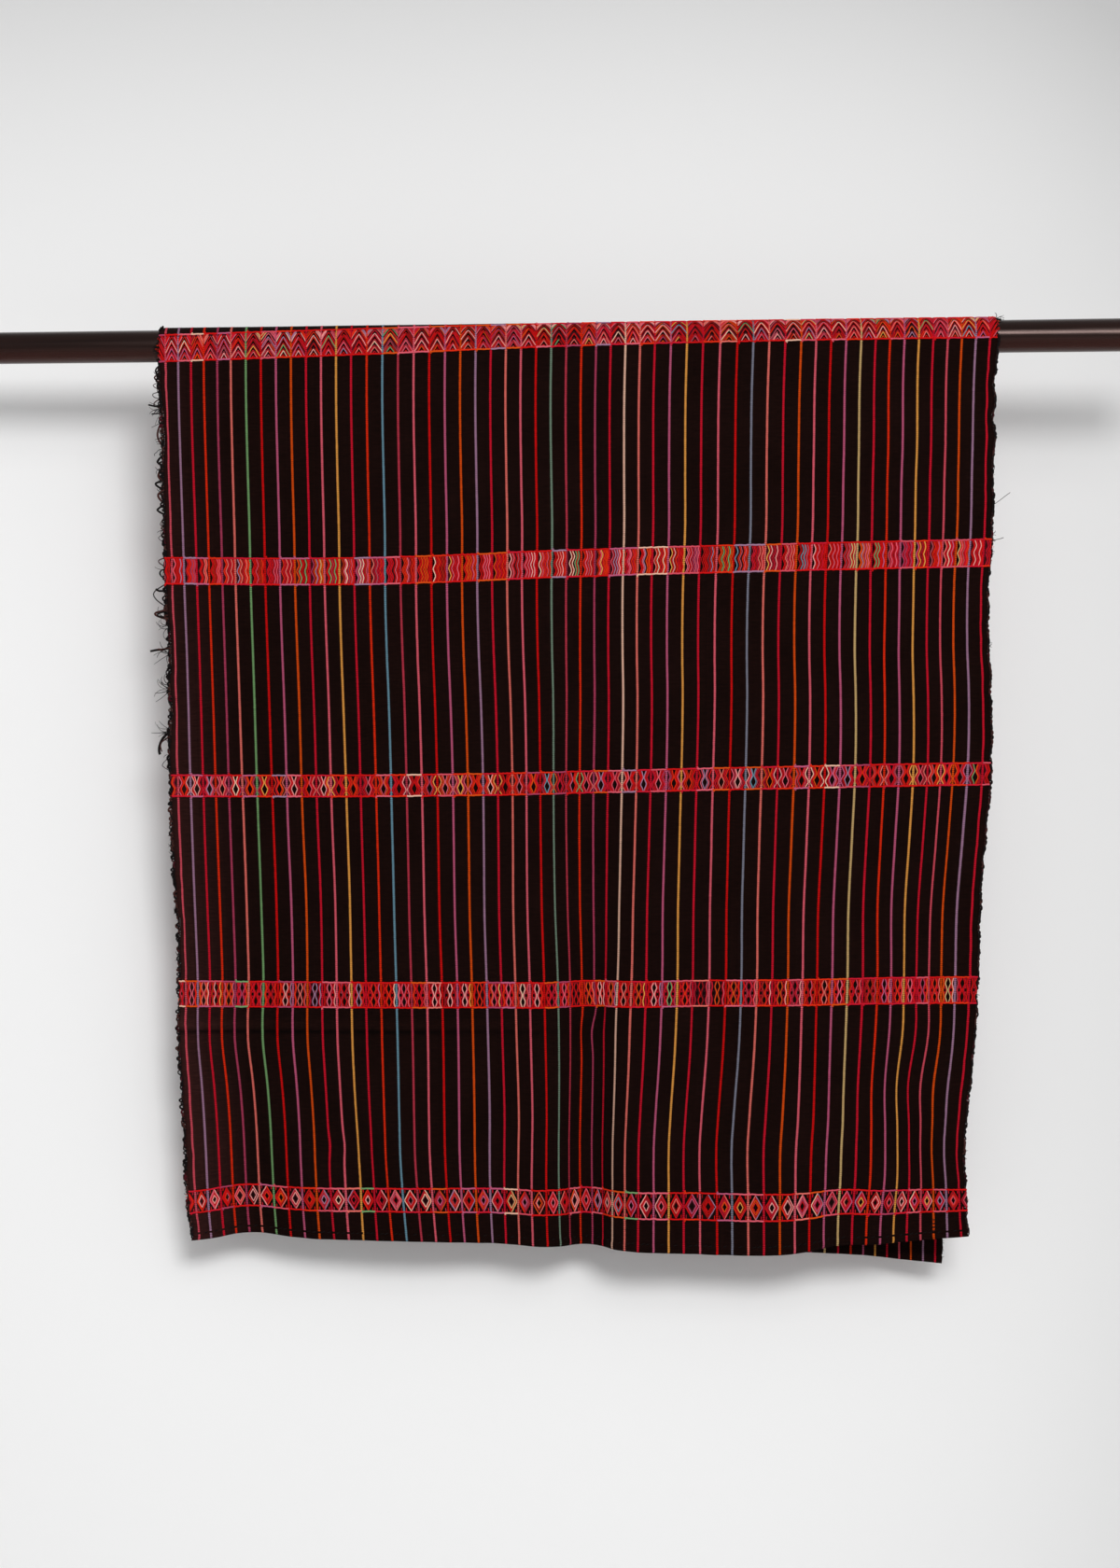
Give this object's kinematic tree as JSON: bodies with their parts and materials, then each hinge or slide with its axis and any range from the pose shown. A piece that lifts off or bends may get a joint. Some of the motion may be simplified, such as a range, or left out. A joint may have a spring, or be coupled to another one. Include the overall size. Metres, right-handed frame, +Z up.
{
  "type": "handwoven skirt fabric on a rod",
  "caption": "Black handwoven skirt fabric with thin coloured stripes and woven bands, draped front and back over a plain round rod.",
  "frame": {"origin": "on the rod's axis at the middle of its length", "axes": "+X runs along the rod, which is the longest extent and rises 0.68 degrees towards +X; -Y is the side that the front of the cloth faces, and Y is the shortest extent; +Z is up"},
  "size_m": [1.3002, 0.0765, 1.0179],
  "materials": {
    "dark_wood": "dark reddish-brown turned wood with a worn lacquer, softly glossy",
    "woven_cotton": "matte black handwoven cotton with thin coloured warp stripes and red brocaded bands",
    "frayed_cotton": "matte black loose yarn ends"
  },
  "bodies": {
    "root": {"rod": "dark_wood", "cloth": "woven_cotton", "fray_front_left": "frayed_cotton", "fray_front_right": "frayed_cotton", "fray_back_left": "frayed_cotton", "fray_back_right": "frayed_cotton"}
  },
  "joints": []
}
